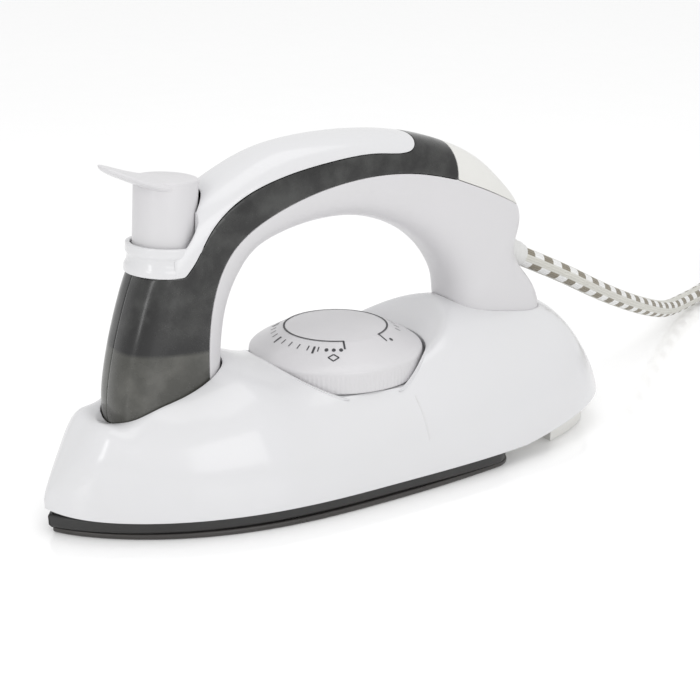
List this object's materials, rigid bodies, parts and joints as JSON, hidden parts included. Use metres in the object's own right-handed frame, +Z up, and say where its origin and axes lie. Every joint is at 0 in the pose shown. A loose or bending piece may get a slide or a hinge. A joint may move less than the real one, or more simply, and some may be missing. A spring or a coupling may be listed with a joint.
{
  "type": "clothes iron",
  "caption": "Compact steam travel iron with an arched handle, smoked water tank in the front leg, round heat dial, sprung steam button, coiled cord and plug.",
  "frame": {"origin": "middle of the iron's box without the cord, on the plane the sole stands on", "axes": "+X points to the nose, +Y to the iron's left side, +Z up"},
  "size_m": [0.444, 0.1457, 0.1042],
  "materials": {
    "sole_coating": "smooth dark non-stick coating",
    "casting": "rough die casting",
    "element_sheath": "dull metal sheath",
    "steel": "plain",
    "dark_skirt": "matt moulded",
    "white_gloss": "gloss moulded",
    "white_satin": "satin moulded",
    "cream_plastic": "satin moulded",
    "ceramic": "unglazed",
    "brass": "plain",
    "wire_brown": "soft sleeve",
    "wire_blue": "soft sleeve",
    "wire_green": "soft sleeve",
    "white_rubber": "soft moulded",
    "smoked_tank": "clear smoked plastic, gloss",
    "silicone": "soft",
    "braid": "woven",
    "chrome_metal": "bright"
  },
  "bodies": {
    "iron": {"soleplate": "sole_coating", "heater_casting": "casting", "heating_element": "element_sheath", "chamber_lid": "steel", "lid_screws": "steel", "heat_shield": "steel", "shield_screws": "steel", "heat_skirt": "dark_skirt", "body_shell": "white_gloss", "heel_cover": "cream_plastic", "heel_foot": "cream_plastic", "heel_screws": "steel", "leg_screw": "steel", "thermostat_stack": "ceramic", "bimetal_strip": "steel", "contact_leaf": "brass", "thermostat_bracket": "steel", "thermal_fuse": "steel", "fuse_clip": "steel", "terminal_block": "ceramic", "terminal_screws": "brass", "earth_lug": "brass", "earth_screw": "steel", "live_wire": "wire_brown", "neutral_wire": "wire_blue", "link_wire": "wire_brown", "earth_wire": "wire_green", "lead_cores": "wire_brown", "cord_bush": "white_rubber", "tank_left": "smoked_tank", "tank_right": "smoked_tank", "top_cover": "white_gloss", "rear_cap": "cream_plastic", "handle_shell": "white_satin", "valve_seat": "silicone", "stem_seal": "silicone", "return_spring": "steel", "mains_cord": "braid", "cord_coil": "braid", "plug_lead": "braid", "plug_body": "white_satin", "plug_pins": "chrome_metal", "plug_earth_clips": "chrome_metal", "cord_tie": "white_rubber"},
    "dial": {"dial": "white_satin", "thermostat_spindle": "brass"},
    "button": {"steam_button": "white_satin", "valve_stem": "brass"}
  },
  "joints": [
    {"name": "dial_turn", "type": "hinge", "parent": "iron", "child": "dial", "pos_m": [0.0012, 0, 0.04], "axis": [0, 0, 1], "range_deg": [-290, 0]},
    {"name": "button_press", "type": "slide", "parent": "iron", "child": "button", "axis": [0.0698, 0, -0.9976], "range_m": [0, 0.005], "stiffness_N_per_m": 300, "springref_m": -0.003, "deforming": ["return_spring"]}
  ]
}
